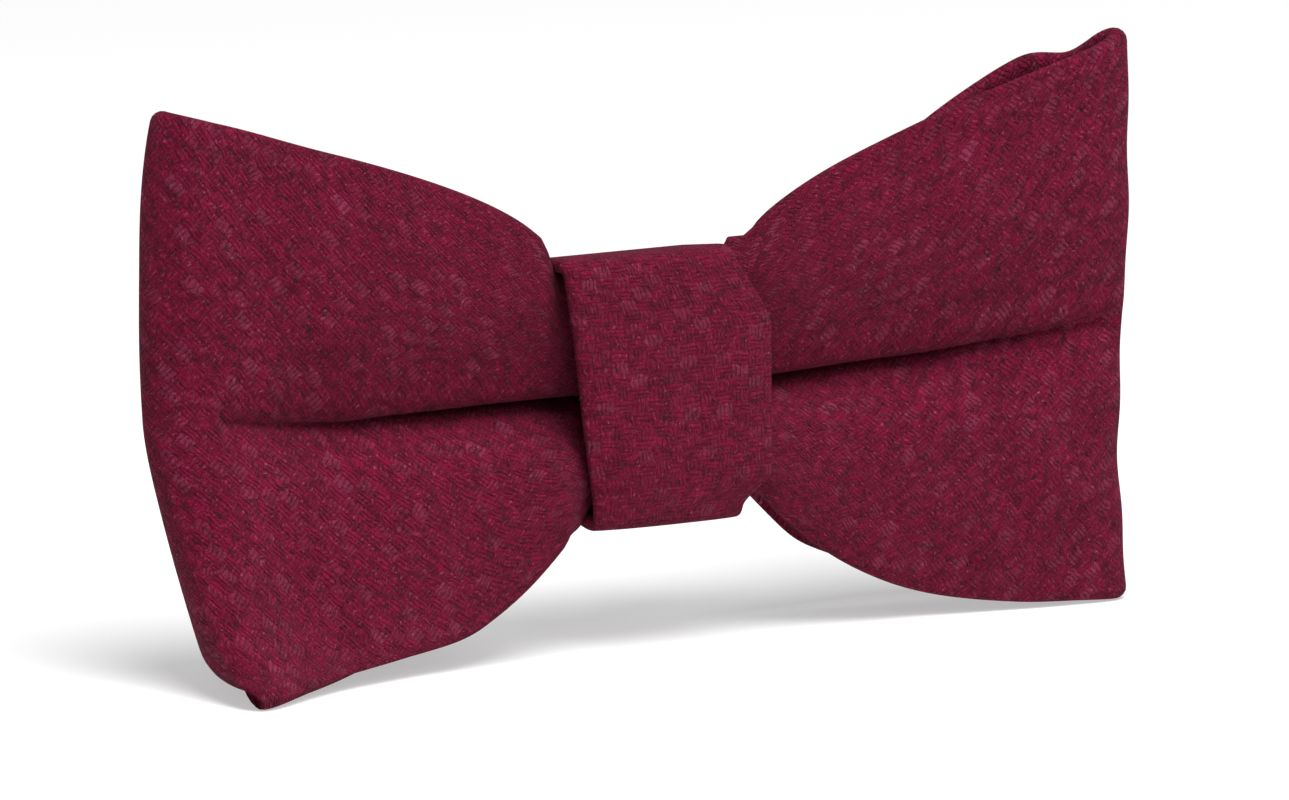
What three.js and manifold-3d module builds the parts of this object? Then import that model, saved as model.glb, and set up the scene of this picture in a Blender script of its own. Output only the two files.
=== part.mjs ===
// Clip-on bow tie of woollen cloth, as one assembly of named solids.
// Millimetres, +Z up, the front faces -Y, the wings run along X. It stands on the lower corners of its wings.
import * as THREE from "three";
import Module from "manifold-3d";
import { mergeVertices } from "three/addons/utils/BufferGeometryUtils.js";

// ---------- driving dimensions ----------
const BOW_WIDTH = 118;
const WING_HEIGHT = 62.5;
const KNOT_WIDTH = 25;
const KNOT_HEIGHT = 29;
const KNOT_DEPTH = 16;
const CLIP_WIDTH = 34;
const CLIP_HEIGHT = 9.6;

// ---------- cloth and gaps ----------
const PLY = 0.7; // one layer of the wool
const CANVAS = 0.6; // stiffening canvas between two layers of wool
const FIT = 0.3; // gap between pieces that lie against each other
const THREAD_RADIUS = 0.25;
const WIRE_SIDES = 5;
const WING_THICKNESS = 2 * PLY + CANVAS + 2 * FIT;
const WRAP_THICKNESS = 1.2; // the knot's cloth, folded double
const KNOT_CANVAS = 0.5;

// ---------- levels ----------
const LOWER_SHARE = 0.453; // share of the wing's height that lies below the knot's middle
const KNOT_Z = WING_HEIGHT * LOWER_SHARE;
const KNOT_FRONT_Y = -0.65 * KNOT_DEPTH;
const KNOT_BACK_Y = KNOT_FRONT_Y + KNOT_DEPTH;
const LINING_SPACE = WRAP_THICKNESS + FIT + KNOT_CANVAS;
const MOUTH_FRONT_Y = KNOT_FRONT_Y + LINING_SPACE;
const MOUTH_BACK_Y = KNOT_BACK_Y - LINING_SPACE;
const MOUTH_HALF_HEIGHT = KNOT_HEIGHT / 2 - LINING_SPACE;

// ---------- wings ----------
const WING_ROOT_X = 0.76 * (KNOT_WIDTH / 2); // the wing starts inside the knot's mouth
const WING_REACH = BOW_WIDTH / 2 - WING_THICKNESS / 2 - WING_ROOT_X;
const ROOT_CLEARANCE = 1.1; // room in the mouth, so that the wing can bend
const ROOT_HALF_HEIGHT = MOUTH_HALF_HEIGHT - ROOT_CLEARANCE;
const MOUTH_REACH = (KNOT_WIDTH / 2 - WING_ROOT_X + 2 * FIT) / WING_REACH; // share that stays narrow
const FOLD_ROUND = 0.05; // how softly the loop turns at its outer end
const FOLD_OPEN = 0.085;
const TIP_HALF_GAP = 4.2; // half of the loop's open depth near its outer end
const ROOT_FRONT_Y = MOUTH_FRONT_Y + 1.4 * ROOT_CLEARANCE + WING_THICKNESS / 2;
const ROOT_BACK_Y = MOUTH_BACK_Y - ROOT_CLEARANCE - WING_THICKNESS / 2;
const ROOT_ROOM = ROOT_BACK_Y - ROOT_FRONT_Y - WING_THICKNESS; // between the two layers, before they are pleated
const FRONT_CREASE = 0.63 * ROOT_ROOM;
const REAR_CREASE = 0.19 * ROOT_ROOM;
const CREASE_WIDTH = 0.34;
const CREASE_FADE = 3; // how soon the crease deepens, away from the outer fold
const CORNER_ROUND = 2.2;
const CORNER_SHARPNESS = 8; // power of the height, by which only the corners are rounded
const CORNER_START = 6; // power of the reach, by which only the outer end is rounded
const FLARE_SPREAD = 0.6;
const WING_CURL = { left: 0.5, right: 6 }; // how far each outer fold comes forward
const CORNER_FLARE = { left: 17, right: 0.5 }; // how much further each lower outer corner comes forward
const REAR_FLARE = { left: 7, right: 6 }; // how far the rear layer's lower edge stands back
const REAR_SPREAD = 1.3; // how much sooner the rear layer's lower edge comes down to the floor
const FRONT_FORWARD = 1.8; // powers of the reach, by which each layer follows the outer fold forward
const REAR_FORWARD = 4;
const TOP_SWEEP = 0.75; // powers that shape the wing's upper and lower edges
const BOTTOM_SWEEP = { left: 4.4, right: 2.6 };
const FLARE_POWER = 1.6;
const STEPS_ALONG = 28;
const STEPS_ACROSS = 10;

// ---------- waist ----------
const WAIST_HALF_LENGTH = 5.6;
const WAIST_GAP = 1.5; // room for the binding thread round the waist
const WAIST_TURNS = 3;
const POINTS_PER_TURN = 20;

// ---------- knot ----------
const RING_SQUARENESS = 5.5;
const RING_STEPS = 40;
const REAR_NARROWING = 0.28; // how much narrower the knot's band is behind
const NARROWING_POWER = 1.5;
const BAND_GAP_SHARE = 0.006; // the band's two ends stop short of each other behind the knot
const LINING_MARGIN = 1; // the lining is this much narrower than the band at each edge
const SEAM_STITCHES = 7;
const SEAM_HALF_HEIGHT = 0.9;

// ---------- clip ----------
const SHEET = 0.6;
const PLATE_FRONT_Y = KNOT_BACK_Y + 2 * FIT + 2 * THREAD_RADIUS;
const PLATE_BACK_Y = PLATE_FRONT_Y + SHEET;
const PIN_X = 6.5;
const PIN_RADIUS = 0.6;
const PIN_CLEARANCE = 0.1;
const PIN_Y = PLATE_BACK_Y + 2;
const EAR_RADIUS = 1.3;
const EAR_GAP = 0.3;
const JAW_RISE = 1.7; // from the pin's centre to the jaw's inner face
const JAW_LENGTH = CLIP_WIDTH / 2 - PIN_X - 0.5;
const TAIL_LENGTH = 5;
const TAIL_ANGLE = 26; // degrees the tail stands off, which is how far the jaw can open
const TEETH = 5;
const TOOTH_DEPTH = 0.9;
const SPRING_TURNS = 3;
const SPRING_WIRE = 0.25;
const SPRING_GAP = 0.25; // between neighbouring turns
const SPRING_FIT = 0.1;
const SPRING_ARM = 2.6;
const POINTS_PER_COIL = 10;
const PLATE_CORNER = 1.5;
const ROUND_SIDES = 16;
const CHAMFER = 0.7; // share of an ear's radius at its cut corners
const JAW_BEND = 0.35; // share of the jaw's length where it bends towards the plate
const JAW_TIP_RISE = 0.6;
const TAIL_END_X = 0.35;
const TAIL_END_Y = 0.72;
const TOOTH_ROOT_SHARE = 0.46;
const TOOTH_TIP_SHARE = 0.12;
const TACK_BEND = 0.35;
const TACK_X = 2.2;
const TACK_Z = 3.2;
const TACK_HOLE = 0.6;
const MERGE = 0.2; // how far joined shapes run into each other

const COLOURS = {
  wool: 0x7a1a3a,
  canvas: 0xd8cfbb,
  thread: 0x4a1226,
  steel: 0xb9bcc0,
};
const LOOKS = {
  wool: new THREE.MeshStandardMaterial({ color: COLOURS.wool, roughness: 0.95, metalness: 0 }),
  canvas: new THREE.MeshStandardMaterial({ color: COLOURS.canvas, roughness: 0.9, metalness: 0 }),
  thread: new THREE.MeshStandardMaterial({ color: COLOURS.thread, roughness: 0.8, metalness: 0 }),
  steel: new THREE.MeshStandardMaterial({ color: COLOURS.steel, roughness: 0.3, metalness: 1 }),
};

const group = new THREE.Group();
const wasm = await Module();
wasm.setup();

// ---------- helpers ----------
function add(name, geometry, look) {
  const mesh = new THREE.Mesh(geometry, LOOKS[look].clone());
  mesh.name = name;
  group.add(mesh);
}

function solid(geometry) {
  const bare = geometry.index ? geometry.toNonIndexed() : geometry.clone();
  bare.deleteAttribute("normal");
  bare.deleteAttribute("uv");
  const merged = mergeVertices(bare, 1e-4);
  return new wasm.Manifold(
    new wasm.Mesh({
      numProp: 3,
      vertProperties: merged.attributes.position.array,
      triVerts: new Uint32Array(merged.index.array),
    }),
  );
}

function geometryOf(manifold) {
  const mesh = manifold.getMesh();
  const geometry = new THREE.BufferGeometry();
  geometry.setAttribute("position", new THREE.BufferAttribute(new Float32Array(mesh.vertProperties), 3));
  geometry.setIndex(new THREE.BufferAttribute(new Uint32Array(mesh.triVerts), 1));
  return geometry;
}

function moved(geometry, x, y, z) {
  return geometry.translate(x, y, z);
}

// Joins equal rings of points into a skin, with the ends left to the caller.
function ringSkin(rings, triangles, start, turn) {
  const count = rings[0].length;
  for (let row = 0; row + 1 < rings.length; row += 1) {
    for (let i = 0; i < count; i += 1) {
      const next = (i + 1) % count;
      const a = start + row * count + i;
      const b = start + row * count + next;
      const c = start + (row + 1) * count + next;
      const d = start + (row + 1) * count + i;
      if (turn) triangles.push(a, c, b, a, d, c);
      else triangles.push(a, b, c, a, c, d);
    }
  }
}

function indexed(points, triangles) {
  const geometry = new THREE.BufferGeometry();
  const flat = new Float32Array(points.length * 3);
  points.forEach((p, i) => flat.set([p.x, p.y, p.z], i * 3));
  geometry.setAttribute("position", new THREE.BufferAttribute(flat, 3));
  geometry.setIndex(triangles);
  return facingOut(geometry);
}

function facingOut(geometry) {
  if (solid(geometry).volume() > 0) return geometry;
  const index = geometry.index.array;
  for (let i = 0; i < index.length; i += 3) [index[i + 1], index[i + 2]] = [index[i + 2], index[i + 1]];
  return geometry;
}

// A strip of cloth: rows of rings whose points run along the front face and back along the rear face.
function stripSolid(rings) {
  const count = rings[0].length;
  const triangles = [];
  ringSkin(rings, triangles, 0, false);
  const last = (rings.length - 1) * count;
  for (let i = 0; i + 1 < count / 2; i += 1) {
    const far = count - 1 - i;
    triangles.push(i, far, far - 1, i, far - 1, i + 1);
    triangles.push(last + i, last + far - 1, last + far, last + i, last + i + 1, last + far - 1);
  }
  return indexed(rings.flat(), triangles);
}

// A flat tube of cloth: an outer skin and an inner skin, joined at both open ends.
function tubeSolid(outer, inner) {
  const count = outer[0].length;
  const triangles = [];
  const innerStart = outer.length * count;
  ringSkin(outer, triangles, 0, false);
  ringSkin(inner, triangles, innerStart, true);
  const lastRow = (outer.length - 1) * count;
  for (let i = 0; i < count; i += 1) {
    const next = (i + 1) % count;
    triangles.push(i, innerStart + i, innerStart + next, i, innerStart + next, next);
    triangles.push(lastRow + i, innerStart + lastRow + next, innerStart + lastRow + i);
    triangles.push(lastRow + i, lastRow + next, innerStart + lastRow + next);
  }
  return indexed([...outer.flat(), ...inner.flat()], triangles);
}

function circle(radius, x, y, sides) {
  const path = new THREE.Path();
  for (let i = 0; i < sides; i += 1) {
    const angle = (2 * Math.PI * i) / sides;
    const px = x + radius * Math.cos(angle);
    const py = y + radius * Math.sin(angle);
    if (i === 0) path.moveTo(px, py);
    else path.lineTo(px, py);
  }
  path.closePath();
  return path;
}

// A round thread or wire along the given points.
function wire(points, radius, steps) {
  const shape = new THREE.Shape(circle(radius, 0, 0, WIRE_SIDES).getPoints());
  const curve = new THREE.CatmullRomCurve3(points, false, "centripetal");
  return new THREE.ExtrudeGeometry(shape, { extrudePath: curve, steps, bevelEnabled: false });
}

function outline(points) {
  return new THREE.Shape(points.map(([x, y]) => new THREE.Vector2(x, y)));
}

function extruded(shape, low, high) {
  const geometry = new THREE.ExtrudeGeometry(shape, { depth: high - low, bevelEnabled: false });
  return geometry.translate(0, 0, low);
}

// ---------- wings ----------
function topHeight(reach) {
  const share = Math.max(0, (reach - MOUTH_REACH) / (1 - MOUTH_REACH));
  return ROOT_HALF_HEIGHT + (WING_HEIGHT - KNOT_Z - ROOT_HALF_HEIGHT) * share ** TOP_SWEEP;
}

function bottomHeight(side, reach, spread) {
  const share = Math.min(1, (spread * Math.max(0, reach - MOUTH_REACH)) / (1 - MOUTH_REACH));
  return ROOT_HALF_HEIGHT + (KNOT_Z - ROOT_HALF_HEIGHT) * (1 - (1 - share) ** BOTTOM_SWEEP[side]);
}

// How deep the pinch is, as a share, at a height given as a share of the half height.
function pleat(across) {
  return Math.exp(-((across / CREASE_WIDTH) ** 2));
}

// A point on the middle of the wing's cloth. along runs -1 (knot, front layer) through 0 (outer fold) to
// 1 (knot, rear layer); across runs -1 (bottom) to 1 (top); inset narrows the strip.
function wingPoint(side, along, across, inset) {
  const way = Math.abs(along);
  const turn = Math.hypot(way, FOLD_ROUND) - FOLD_ROUND;
  const reach = 1 - turn / (Math.hypot(1, FOLD_ROUND) - FOLD_ROUND);
  const half = across > 0 ? topHeight(reach) : bottomHeight(side, reach, along > 0 ? REAR_SPREAD : 1);
  const rise = across * (half - inset);
  const corner = CORNER_ROUND * Math.abs(across) ** CORNER_SHARPNESS * reach ** CORNER_START;
  const openness = Math.sign(along) * (way / Math.hypot(way, FOLD_OPEN));
  const rootY = along < 0 ? ROOT_FRONT_Y : ROOT_BACK_Y;
  const nearKnot = way ** 3;
  const creaseDepth = along < 0 ? FRONT_CREASE : -REAR_CREASE;
  const crease = creaseDepth * pleat(across) * way * Math.min(1, way * CREASE_FADE);
  const low = Math.max(0, -across);
  const follow = Math.max(0, reach) ** (along > 0 ? REAR_FORWARD : FRONT_FORWARD);
  const forward = follow * (WING_CURL[side] + CORNER_FLARE[side] * low ** FLARE_POWER);
  const back = along > 0 ? REAR_FLARE[side] * low * Math.sin(Math.PI * Math.min(1, way) ** FLARE_SPREAD) : 0;
  const layer = nearKnot * rootY + (1 - nearKnot) * openness * TIP_HALF_GAP;
  const y = layer + crease - forward + back;
  const x = WING_ROOT_X + reach * WING_REACH - corner;
  return new THREE.Vector3(side === "left" ? -x : x, y, KNOT_Z + rise);
}

function wingNormal(side, along, across, inset) {
  const step = 1e-3;
  const du = wingPoint(side, along + step, across, inset).sub(wingPoint(side, along - step, across, inset));
  const dv = wingPoint(side, along, across + step, inset).sub(wingPoint(side, along, across - step, inset));
  return du.cross(dv).normalize();
}

function wingRings(side, halfThickness, inset) {
  const rings = [];
  for (let i = 0; i <= STEPS_ALONG; i += 1) {
    const even = (2 * i) / STEPS_ALONG - 1;
    // The rows lie close together at the outer fold and inside the knot.
    const along = Math.sign(even) * even ** 2 * (3 - 2 * Math.abs(even));
    const front = [];
    const rear = [];
    for (let j = 0; j <= STEPS_ACROSS; j += 1) {
      const across = (2 * j) / STEPS_ACROSS - 1;
      const point = wingPoint(side, along, across, inset);
      const normal = wingNormal(side, along, across, inset).multiplyScalar(halfThickness);
      front.push(point.clone().add(normal));
      rear.unshift(point.clone().sub(normal));
    }
    rings.push([...front, ...rear]);
  }
  return rings;
}

function makeWing(side) {
  const shell = tubeSolid(
    wingRings(side, WING_THICKNESS / 2, 0),
    wingRings(side, WING_THICKNESS / 2 - PLY, PLY),
  );
  const canvas = stripSolid(wingRings(side, CANVAS / 2, PLY + FIT));
  add("bow_loop_" + side, shell, "wool");
  add("interlining_" + side, canvas, "canvas");
}

// ---------- waist ----------
// The gathered middle of the cloth, pleated into a fan; its outline is drawn in the YZ plane.
function waistOutline() {
  const steps = 36;
  const points = [];
  const middleY = (KNOT_FRONT_Y + KNOT_BACK_Y) / 2;
  for (let i = 0; i < steps; i += 1) {
    const [y, z] = ringPoint(i / steps, LINING_SPACE + WAIST_GAP);
    const fold = pleat((z - KNOT_Z) / MOUTH_HALF_HEIGHT);
    points.push([y + fold * (y < middleY ? FRONT_CREASE : -REAR_CREASE), z]);
  }
  return points;
}

// Turns a solid drawn in XY and raised along Z into one drawn in YZ and raised along X.
function alongX(geometry) {
  const turn = new THREE.Matrix4().makeBasis(
    new THREE.Vector3(0, 1, 0),
    new THREE.Vector3(0, 0, 1),
    new THREE.Vector3(1, 0, 0),
  );
  return geometry.applyMatrix4(turn);
}

function makeWaist() {
  const block = alongX(extruded(outline(waistOutline()), -WAIST_HALF_LENGTH, WAIST_HALF_LENGTH));
  add("bow_waist", block, "wool");
  const turnPoints = [];
  const pitch = 4 * THREAD_RADIUS;
  for (let i = 0; i <= WAIST_TURNS * POINTS_PER_TURN; i += 1) {
    const [y, z] = ringPoint(i / POINTS_PER_TURN, LINING_SPACE + WAIST_GAP / 2);
    const x = (i / POINTS_PER_TURN - WAIST_TURNS / 2) * pitch;
    turnPoints.push(new THREE.Vector3(x, y, z));
  }
  add("waist_binding_thread", wire(turnPoints, THREAD_RADIUS, 2 * turnPoints.length), "thread");
}

// ---------- knot ----------
// A rounded ring round the waist, seen from the side; inset shrinks it on every side.
function ringPoint(share, inset) {
  const angle = 2 * Math.PI * share;
  const middleY = (KNOT_FRONT_Y + KNOT_BACK_Y) / 2;
  const power = 2 / RING_SQUARENESS;
  const c = Math.cos(angle);
  const s = Math.sin(angle);
  const y = middleY + Math.sign(c) * Math.abs(c) ** power * (KNOT_DEPTH / 2 - inset);
  const z = KNOT_Z + Math.sign(s) * Math.abs(s) ** power * (KNOT_HEIGHT / 2 - inset);
  return [y, z];
}

// The ring is wide at the front and narrower behind.
function ringHalfWidth(y, width) {
  const back = (y - KNOT_FRONT_Y) / KNOT_DEPTH;
  return (width / 2) * (1 - REAR_NARROWING * Math.max(0, back) ** NARROWING_POWER);
}

function ringBand(outerInset, thickness, width) {
  const rings = [];
  for (let i = 0; i <= RING_STEPS; i += 1) {
    const share = BAND_GAP_SHARE + (1 - 2 * BAND_GAP_SHARE) * (i / RING_STEPS);
    const outer = ringPoint(share, outerInset);
    const inner = ringPoint(share, outerInset + thickness);
    const half = ringHalfWidth(outer[0], width);
    rings.push([
      new THREE.Vector3(-half, outer[0], outer[1]),
      new THREE.Vector3(half, outer[0], outer[1]),
      new THREE.Vector3(half, inner[0], inner[1]),
      new THREE.Vector3(-half, inner[0], inner[1]),
    ]);
  }
  return stripSolid(rings);
}

function makeKnot() {
  add("knot_wrap", ringBand(0, WRAP_THICKNESS, KNOT_WIDTH), "wool");
  add("knot_interlining", ringBand(WRAP_THICKNESS + FIT, KNOT_CANVAS, KNOT_WIDTH - 2 * LINING_MARGIN), "canvas");
  const seamHalf = ringHalfWidth(KNOT_BACK_Y, KNOT_WIDTH) - LINING_MARGIN;
  const points = [];
  for (let i = 0; i <= 2 * SEAM_STITCHES; i += 1) {
    const x = -seamHalf + (seamHalf * i) / SEAM_STITCHES;
    const z = KNOT_Z + (i % 2 ? SEAM_HALF_HEIGHT : -SEAM_HALF_HEIGHT);
    points.push(new THREE.Vector3(x, KNOT_BACK_Y + FIT + THREAD_RADIUS, z));
  }
  add("knot_seam_thread", wire(points, THREAD_RADIUS, 6 * SEAM_STITCHES), "thread");
}

// ---------- clip ----------
function earShape(x) {
  return outline([
    [x - EAR_RADIUS, PLATE_BACK_Y - MERGE],
    [x + EAR_RADIUS, PLATE_BACK_Y - MERGE],
    [x + EAR_RADIUS, PIN_Y],
    [x + CHAMFER * EAR_RADIUS, PIN_Y + CHAMFER * EAR_RADIUS],
    [x, PIN_Y + EAR_RADIUS],
    [x - CHAMFER * EAR_RADIUS, PIN_Y + CHAMFER * EAR_RADIUS],
    [x - EAR_RADIUS, PIN_Y],
  ]);
}

function makePlate() {
  const half = CLIP_WIDTH / 2;
  const corner = PLATE_CORNER;
  const low = -CLIP_HEIGHT / 2;
  const high = CLIP_HEIGHT / 2;
  const face = outline([
    [-half + corner, low],
    [half - corner, low],
    [half, low + corner],
    [half, high - corner],
    [half - corner, high],
    [-half + corner, high],
    [-half, high - corner],
    [-half, low + corner],
  ]);
  for (const x of [-TACK_X, TACK_X]) {
    for (const z of [-TACK_Z, TACK_Z]) face.holes.push(circle(TACK_HOLE, x, z, 10));
  }
  const sheet = extruded(face, 0, SHEET);
  sheet.rotateX(Math.PI / 2);
  let plate = solid(moved(sheet, 0, PLATE_BACK_Y, KNOT_Z));
  for (const x of [-PIN_X, PIN_X]) {
    for (const bottom of [low, high - SHEET]) {
      const shape = earShape(x);
      shape.holes.push(circle(PIN_RADIUS + PIN_CLEARANCE, x, PIN_Y, ROUND_SIDES));
      plate = plate.add(solid(extruded(shape, KNOT_Z + bottom, KNOT_Z + bottom + SHEET)));
    }
  }
  add("clip_plate", geometryOf(plate), "steel");
}

function jawShape(side) {
  const tail = (TAIL_ANGLE * Math.PI) / 180;
  const inner = PIN_Y + JAW_RISE;
  const tip = PLATE_BACK_Y + FIT + TOOTH_DEPTH;
  const tailX = -TAIL_LENGTH * Math.cos(tail);
  const tailY = inner + TAIL_LENGTH * Math.sin(tail);
  const points = [
    [tailX, tailY],
    [0, inner],
    [JAW_BEND * JAW_LENGTH, inner - MERGE],
    [JAW_LENGTH - SHEET, tip + JAW_TIP_RISE],
    [JAW_LENGTH - SHEET, tip],
    [JAW_LENGTH, tip],
    [JAW_LENGTH, tip + JAW_TIP_RISE + 2 * MERGE],
    [JAW_BEND * JAW_LENGTH + MERGE, inner + SHEET - MERGE],
    [0, inner + SHEET],
    [tailX - TAIL_END_X, tailY + TAIL_END_Y * SHEET],
  ];
  return outline(points.map(([x, y]) => [side * (PIN_X + x), y]));
}

function makeJaw(side, name) {
  const half = CLIP_HEIGHT / 2 - SHEET - EAR_GAP;
  let jaw = solid(extruded(jawShape(side), KNOT_Z - half, KNOT_Z + half));
  for (const bottom of [-half, half - SHEET]) {
    const ear = outline([
      [side * PIN_X - EAR_RADIUS, PIN_Y + JAW_RISE + MERGE / 2],
      [side * PIN_X - EAR_RADIUS, PIN_Y],
      [side * PIN_X - CHAMFER * EAR_RADIUS, PIN_Y - CHAMFER * EAR_RADIUS],
      [side * PIN_X, PIN_Y - EAR_RADIUS],
      [side * PIN_X + CHAMFER * EAR_RADIUS, PIN_Y - CHAMFER * EAR_RADIUS],
      [side * PIN_X + EAR_RADIUS, PIN_Y],
      [side * PIN_X + EAR_RADIUS, PIN_Y + JAW_RISE + MERGE / 2],
    ]);
    ear.holes.push(circle(PIN_RADIUS + PIN_CLEARANCE, side * PIN_X, PIN_Y, ROUND_SIDES));
    jaw = jaw.add(solid(extruded(ear, KNOT_Z + bottom, KNOT_Z + bottom + SHEET)));
  }
  const pitch = (2 * half) / TEETH;
  for (let i = 0; i < TEETH; i += 1) {
    const z = KNOT_Z - half + (i + 0.5) * pitch;
    jaw = jaw.add(solid(tooth(side, z, pitch)));
  }
  add(name, geometryOf(jaw), "steel");
}

// One tooth: a wedge that points at the plate.
function tooth(side, z, pitch) {
  const root = PLATE_BACK_Y + FIT + TOOTH_DEPTH;
  const wedge = outline([
    [root + MERGE / 2, -TOOTH_ROOT_SHARE * pitch],
    [root + MERGE / 2, TOOTH_ROOT_SHARE * pitch],
    [root - TOOTH_DEPTH, TOOTH_TIP_SHARE * pitch],
    [root - TOOTH_DEPTH, -TOOTH_TIP_SHARE * pitch],
  ]);
  const far = side * (PIN_X + JAW_LENGTH);
  const near = far - side * SHEET;
  const geometry = alongX(extruded(wedge, Math.min(near, far), Math.max(near, far)));
  return moved(geometry, 0, 0, z);
}

function makePin(side, name) {
  const pin = new THREE.CylinderGeometry(PIN_RADIUS, PIN_RADIUS, CLIP_HEIGHT + SHEET, ROUND_SIDES);
  pin.rotateX(Math.PI / 2);
  add(name, moved(pin, side * PIN_X, PIN_Y, KNOT_Z), "steel");
}

// A small torsion spring round the pin, between the jaw's ears, with its fixed arm along the plate.
function makeSpring(side, name) {
  const radius = PIN_RADIUS + PIN_CLEARANCE + SPRING_WIRE + SPRING_FIT;
  const points = [];
  const height = SPRING_TURNS * (2 * SPRING_WIRE + SPRING_GAP);
  points.push(new THREE.Vector3(side * (PIN_X - SPRING_ARM), PIN_Y - radius, KNOT_Z - height / 2));
  points.push(new THREE.Vector3(side * (PIN_X - SPRING_ARM / 2), PIN_Y - radius, KNOT_Z - height / 2));
  for (let i = 0; i <= SPRING_TURNS * POINTS_PER_COIL; i += 1) {
    const angle = -Math.PI / 2 + (2 * Math.PI * i) / POINTS_PER_COIL;
    const x = side * (PIN_X + radius * Math.cos(angle));
    const y = PIN_Y + radius * Math.sin(angle);
    const z = KNOT_Z - height / 2 + (height * i) / (SPRING_TURNS * POINTS_PER_COIL);
    points.push(new THREE.Vector3(x, y, z));
  }
  add(name, wire(points, SPRING_WIRE, 2 * SPRING_TURNS * POINTS_PER_COIL), "steel");
}

function makeTack(z, name) {
  const low = KNOT_BACK_Y + FIT;
  const bridge = PLATE_BACK_Y + FIT + THREAD_RADIUS;
  const points = [
    new THREE.Vector3(-TACK_X, low, z),
    new THREE.Vector3(-TACK_X, (low + bridge) / 2, z),
    new THREE.Vector3(-TACK_X, bridge - THREAD_RADIUS, z),
    new THREE.Vector3(-TACK_X + TACK_BEND, bridge, z),
    new THREE.Vector3(TACK_X - TACK_BEND, bridge, z),
    new THREE.Vector3(TACK_X, bridge - THREAD_RADIUS, z),
    new THREE.Vector3(TACK_X, (low + bridge) / 2, z),
    new THREE.Vector3(TACK_X, low, z),
  ];
  add(name, wire(points, THREAD_RADIUS, 24), "thread");
}

function makeClip() {
  makePlate();
  for (const [side, word] of [
    [-1, "left"],
    [1, "right"],
  ]) {
    makeJaw(side, "clip_jaw_" + word);
    makePin(side, "jaw_pin_" + word);
    makeSpring(side, "jaw_spring_" + word);
  }
  makeTack(KNOT_Z + TACK_Z, "clip_tack_upper");
  makeTack(KNOT_Z - TACK_Z, "clip_tack_lower");
}

// Puts the frame's origin under the middle of the whole part, on the floor.
function centreOnFloor() {
  const box = new THREE.Box3().setFromObject(group, true);
  const middle = box.getCenter(new THREE.Vector3());
  for (const mesh of group.children) moved(mesh.geometry, -middle.x, -middle.y, -box.min.z);
}

makeWing("left");
makeWing("right");
makeWaist();
makeKnot();
makeClip();
centreOnFloor();

export default group;
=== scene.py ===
"""Looks of the clip-on bow tie: cloth wings, knot, canvas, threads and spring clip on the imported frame."""

import math

import bmesh
import bpy
import numpy as np
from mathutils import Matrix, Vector


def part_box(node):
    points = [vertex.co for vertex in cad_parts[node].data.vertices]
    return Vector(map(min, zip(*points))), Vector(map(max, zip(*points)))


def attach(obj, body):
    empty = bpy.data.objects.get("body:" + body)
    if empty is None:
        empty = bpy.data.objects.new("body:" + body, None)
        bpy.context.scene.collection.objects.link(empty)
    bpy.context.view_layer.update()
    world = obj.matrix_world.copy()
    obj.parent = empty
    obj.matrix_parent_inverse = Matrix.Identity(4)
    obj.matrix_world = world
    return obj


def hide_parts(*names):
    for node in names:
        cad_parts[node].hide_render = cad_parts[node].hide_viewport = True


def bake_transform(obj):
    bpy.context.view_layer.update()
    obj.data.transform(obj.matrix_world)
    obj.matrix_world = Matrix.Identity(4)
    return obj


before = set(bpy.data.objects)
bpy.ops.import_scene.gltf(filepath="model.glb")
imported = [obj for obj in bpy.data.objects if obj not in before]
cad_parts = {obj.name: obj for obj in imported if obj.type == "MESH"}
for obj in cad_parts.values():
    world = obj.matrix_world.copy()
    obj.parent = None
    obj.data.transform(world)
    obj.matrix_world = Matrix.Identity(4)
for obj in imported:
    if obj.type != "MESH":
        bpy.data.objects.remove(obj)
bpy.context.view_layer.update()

MM = 0.001
SEED = 11

# ---------- sizes taken from the frame, in mm ----------
KNOT_LOW, KNOT_HIGH = (np.array(v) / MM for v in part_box("knot_wrap"))
KNOT_Z = (KNOT_LOW[2] + KNOT_HIGH[2]) / 2
KNOT_FRONT = KNOT_LOW[1]
KNOT_BACK = KNOT_HIGH[1]
WING_PLANE = 0.65  # share of the knot's depth at which the wings' middle plane enters it
WING_Y = KNOT_FRONT + WING_PLANE * (KNOT_BACK - KNOT_FRONT)
KNOT_HALF_WIDTH = KNOT_HIGH[0]
KNOT_HALF_HEIGHT = (KNOT_HIGH[2] - KNOT_LOW[2]) / 2
WING_END_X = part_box("bow_loop_right")[1][0] / MM

# ---------- cloth ----------
CLOTH = 2.4  # thickness of one wing layer: wool, canvas, wool
BAND = 1.5  # thickness of the knot's folded cloth
ROOT_X = 6.6  # where the wing's cloth starts inside the knot
MOUTH_X = 12.0  # where the wing leaves the knot and begins to widen
ROOT_TOP = 12.7  # heights of the wing's edges inside the knot, from its middle
ROOT_BOTTOM = 14.0
FOLD_ROUND = 0.05  # roundness of the outer fold, as a share of a layer's length
FOLD_OPEN = 0.085  # share of a layer's length over which the fold opens to most of its depth
ROOT_FRONT = 5.2  # depths of the two layers' edges from the middle plane, where they enter the knot
ROOT_REAR = 2.6
FRONT_PUFF = 3.3  # how far the front lobes stand out beside the knot
OUTER_PUFF = 1.7
REAR_PUFF = 0.6
REAR_CREASE = 0.6
FRONT_FORWARD = 1.8  # powers of the reach, by which each layer follows the outer fold forward
REAR_FORWARD = 4.0
FLARE_POWER = 1.6
ROWS_ALONG = 230
COLUMNS_ACROSS = 150
CREASE_CROWDING = 0.6  # how much closer the columns lie near the crease than at the edges
EDGE_STEPS = 4
ROWS_CROWDING = 1.35  # power by which the rows lie closer near the outer fold
NORMAL_STEP = 2e-4
RIPPLE = 0.22
RIPPLE_WAVE = 14
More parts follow.
